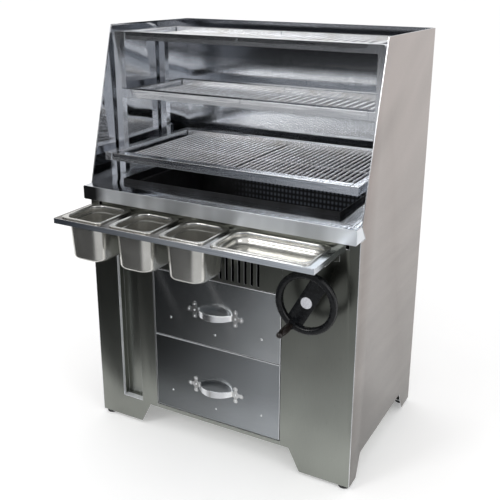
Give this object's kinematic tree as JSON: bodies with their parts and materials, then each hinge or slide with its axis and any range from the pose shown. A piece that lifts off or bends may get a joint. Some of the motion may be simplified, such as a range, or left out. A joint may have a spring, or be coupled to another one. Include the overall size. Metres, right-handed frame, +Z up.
{
  "type": "robata grill",
  "caption": "Stainless robata grill cabinet with open hood, rack grates over a firebox, front pan tray, two drawers and a handwheel that lifts the fire grate.",
  "frame": {"origin": "on the floor under the middle of the bounding box, tray included", "axes": "+Z up, -Y to the front where the pan tray, drawers and handwheel are, +X to the right seen from the front"},
  "size_m": [1, 0.818, 1.43],
  "materials": {
    "side_sheet": "satin, warm grey",
    "front_sheet": "satin, dark reflections",
    "drawer_sheet": "fine brushed, half gloss",
    "mirror_sheet": "bright polished",
    "worktop": "bright brushed",
    "polished_handle": "polished",
    "fastener": "polished",
    "runner_steel": "plain mill",
    "polished_tube": "bright ground",
    "grate_steel": "electropolished",
    "tray_steel": "brushed",
    "pan_steel": "satin",
    "firebox_steel": "heat blackened",
    "fire_board": "sooty, rough",
    "wheel_black": "glossy black",
    "cap_grey": "satin light grey",
    "grip_black": "glossy brownish black",
    "turned_steel": "turned",
    "bush_brass": "plain",
    "foot_black": "satin black"
  },
  "bodies": {
    "cabinet": {"left_side_panel": "side_sheet", "right_side_panel": "side_sheet", "back_panel": "side_sheet", "base_plate": "side_sheet", "left_divider": "side_sheet", "right_divider": "side_sheet", "left_column_front": "front_sheet", "right_column_front": "front_sheet", "vent_panel": "front_sheet", "niche_liner": "front_sheet", "back_wall": "mirror_sheet", "front_ledge": "worktop", "fixed_runners": "runner_steel", "foot_brackets": "runner_steel", "tray_brackets": "runner_steel", "rack_guides": "runner_steel", "shaft_bearings": "runner_steel", "front_left_post": "polished_tube", "front_right_post": "polished_tube", "rear_left_post": "polished_tube", "rear_right_post": "polished_tube", "lower_rack_frame": "polished_tube", "middle_rack_frame": "polished_tube", "upper_rack_frame": "polished_tube", "tray_frame": "tray_steel", "basin_liner": "firebox_steel", "insulation_boards": "fire_board", "shaft_bush": "bush_brass", "levelling_feet": "foot_black"},
    "upper_drawer": {"upper_drawer_front": "drawer_sheet", "upper_drawer_box": "drawer_sheet", "upper_drawer_handle": "polished_handle", "upper_drawer_screws": "fastener", "upper_drawer_runners": "runner_steel"},
    "lower_drawer": {"lower_drawer_front": "drawer_sheet", "lower_drawer_box": "drawer_sheet", "lower_drawer_handle": "polished_handle", "lower_drawer_screws": "fastener", "lower_drawer_runners": "runner_steel"},
    "fire_lift": {"fire_grate": "firebox_steel", "lift_racks": "turned_steel"},
    "cross_drive": {"cross_shaft": "turned_steel", "bevel_gear": "turned_steel", "lift_pinions": "turned_steel"},
    "wheel": {"handwheel": "wheel_black", "hub_cap": "cap_grey", "crank_pin": "turned_steel", "wheel_shaft": "turned_steel", "bevel_pinion": "turned_steel"},
    "grip": {"crank_grip": "grip_black"},
    "left_pan_body": {"left_pan": "pan_steel"},
    "second_pan_body": {"second_pan": "pan_steel"},
    "third_pan_body": {"third_pan": "pan_steel"},
    "wide_pan_body": {"wide_pan": "pan_steel"},
    "lower_left_grate_body": {"lower_left_grate": "grate_steel"},
    "lower_right_grate_body": {"lower_right_grate": "grate_steel"},
    "middle_left_grate_body": {"middle_left_grate": "grate_steel"},
    "middle_right_grate_body": {"middle_right_grate": "grate_steel"},
    "upper_left_grate_body": {"upper_left_grate": "grate_steel"},
    "upper_right_grate_body": {"upper_right_grate": "grate_steel"}
  },
  "joints": [
    {"name": "upper_drawer_slide", "type": "slide", "parent": "cabinet", "child": "upper_drawer", "axis": [0, -1, 0], "range_m": [0, 0.4]},
    {"name": "lower_drawer_slide", "type": "slide", "parent": "cabinet", "child": "lower_drawer", "axis": [0, -1, 0], "range_m": [0, 0.4]},
    {"name": "fire_grate_lift", "type": "slide", "parent": "cabinet", "child": "fire_lift", "axis": [0, 0, 1], "range_m": [0, 0.1]},
    {"name": "handwheel_turn", "type": "hinge", "parent": "cabinet", "child": "wheel", "pos_m": [0.362, -0.291, 0.662], "axis": [0, 1, 0], "range_deg": [0, 717]},
    {"name": "cross_shaft_turn", "type": "hinge", "parent": "cabinet", "child": "cross_drive", "pos_m": [0, 0.094, 0.662], "axis": [1, 0, 0], "range_deg": [-359, 0]},
    {"name": "crank_grip_spin", "type": "hinge", "parent": "wheel", "child": "grip", "pos_m": [0.31865, -0.331, 0.58507], "axis": [0, 1, 0], "continuous": true},
    {"name": "left_pan_lift", "type": "slide", "parent": "cabinet", "child": "left_pan_body", "axis": [0, 0, 1], "range_m": [0, 0.02]},
    {"name": "second_pan_lift", "type": "slide", "parent": "cabinet", "child": "second_pan_body", "axis": [0, 0, 1], "range_m": [0, 0.02]},
    {"name": "third_pan_lift", "type": "slide", "parent": "cabinet", "child": "third_pan_body", "axis": [0, 0, 1], "range_m": [0, 0.02]},
    {"name": "wide_pan_lift", "type": "slide", "parent": "cabinet", "child": "wide_pan_body", "axis": [0, 0, 1], "range_m": [0, 0.02]},
    {"name": "lower_left_grate_lift", "type": "slide", "parent": "cabinet", "child": "lower_left_grate_body", "axis": [0, 0, 1], "range_m": [0, 0.12]},
    {"name": "lower_right_grate_lift", "type": "slide", "parent": "cabinet", "child": "lower_right_grate_body", "axis": [0, 0, 1], "range_m": [0, 0.12]},
    {"name": "middle_left_grate_lift", "type": "slide", "parent": "cabinet", "child": "middle_left_grate_body", "axis": [0, 0, 1], "range_m": [0, 0.12]},
    {"name": "middle_right_grate_lift", "type": "slide", "parent": "cabinet", "child": "middle_right_grate_body", "axis": [0, 0, 1], "range_m": [0, 0.12]},
    {"name": "upper_left_grate_lift", "type": "slide", "parent": "cabinet", "child": "upper_left_grate_body", "axis": [0, 0, 1], "range_m": [0, 0.12]},
    {"name": "upper_right_grate_lift", "type": "slide", "parent": "cabinet", "child": "upper_right_grate_body", "axis": [0, 0, 1], "range_m": [0, 0.12]}
  ],
  "couplings": [
    {"joint": "handwheel_turn", "follows": "fire_grate_lift", "rad_per_m": 125},
    {"joint": "cross_shaft_turn", "follows": "fire_grate_lift", "rad_per_m": -62.5}
  ]
}
